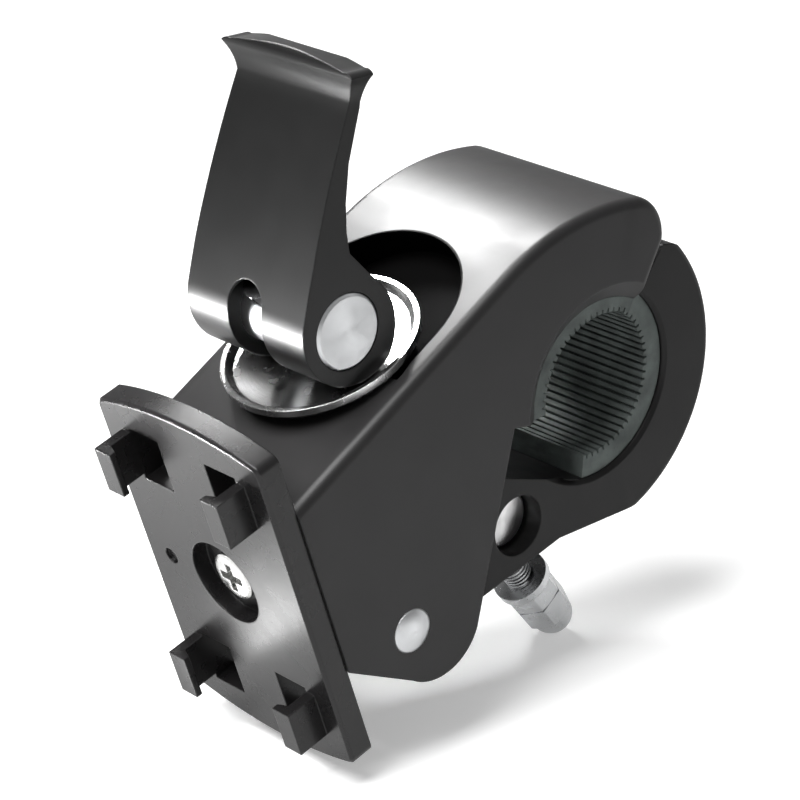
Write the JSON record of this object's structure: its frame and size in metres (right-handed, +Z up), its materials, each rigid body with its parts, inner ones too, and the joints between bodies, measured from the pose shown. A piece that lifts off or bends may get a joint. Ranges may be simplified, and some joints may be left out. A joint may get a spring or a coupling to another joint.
{
  "type": "bicycle phone mount",
  "caption": "Black plastic bicycle handlebar phone mount: hook clamp with ribbed rubber liners, cam lever on a pull rod, and a hooked adapter plate for a phone holder",
  "frame": {"origin": "centre of the clamped handlebar, at the middle of the mount's width", "axes": "+X along the handlebar, -Y to the front where the claw plate faces, +Z up"},
  "size_m": [0.0418, 0.1049, 0.115],
  "materials": {
    "housing_plastic": "satin",
    "jaw_plastic": "satin",
    "lever_plastic": "satin",
    "plate_plastic": "satin",
    "liner_rubber": "matte",
    "turned_steel": "satin",
    "zinc_steel": "satin",
    "bright_nut": "polished",
    "bright_washer": "polished"
  },
  "bodies": {
    "frame": {"housing": "housing_plastic", "upper_liner": "liner_rubber", "cup_washer": "bright_washer", "jaw_pivot_pin": "turned_steel", "claw_plate": "plate_plastic", "plate_screw": "turned_steel", "plate_nut": "zinc_steel"},
    "jaw": {"lower_jaw": "jaw_plastic", "lower_liner": "liner_rubber"},
    "barrel": {"jaw_barrel": "turned_steel"},
    "pin": {"lever_pin": "turned_steel"},
    "rod": {"draw_rod": "zinc_steel"},
    "nuts": {"nut_washer": "zinc_steel", "lock_nut": "zinc_steel", "cap_nut": "bright_nut"},
    "thumb_lever": {"lever": "lever_plastic"}
  },
  "joints": [
    {"name": "lever_turn", "type": "hinge", "parent": "pin", "child": "thumb_lever", "pos_m": [0, -0.0506, 0.0212], "axis": [-1, 0, 0], "range_deg": [0, 66.5]},
    {"name": "pin_lift", "type": "slide", "parent": "frame", "child": "pin", "axis": [0, -0.6361, 0.7716], "range_m": [0, 0.00157]},
    {"name": "jaw_swing", "type": "hinge", "parent": "frame", "child": "jaw", "pos_m": [0, -0.0432, -0.0286], "axis": [-1, 0, 0], "range_deg": [0, 17]},
    {"name": "rod_rock", "type": "hinge", "parent": "pin", "child": "rod", "pos_m": [0, -0.0506, 0.0212], "axis": [-1, 0, 0], "range_deg": [0, 3.93]},
    {"name": "barrel_turn", "type": "hinge", "parent": "jaw", "child": "barrel", "pos_m": [0, -0.01657, -0.02008], "axis": [1, 0, 0], "range_deg": [0, 13.75]},
    {"name": "nut_turn", "type": "hinge", "parent": "rod", "child": "nuts", "pos_m": [0, 0.0006, -0.04092], "axis": [0, -0.6361, 0.7716], "continuous": true}
  ],
  "couplings": [
    {"joint": "lever_turn", "follows": "pin_lift", "rad_per_m": 733.7},
    {"joint": "rod_rock", "follows": "jaw_swing", "ratio": 0.2311},
    {"joint": "barrel_turn", "follows": "jaw_swing", "ratio": 0.7688}
  ]
}
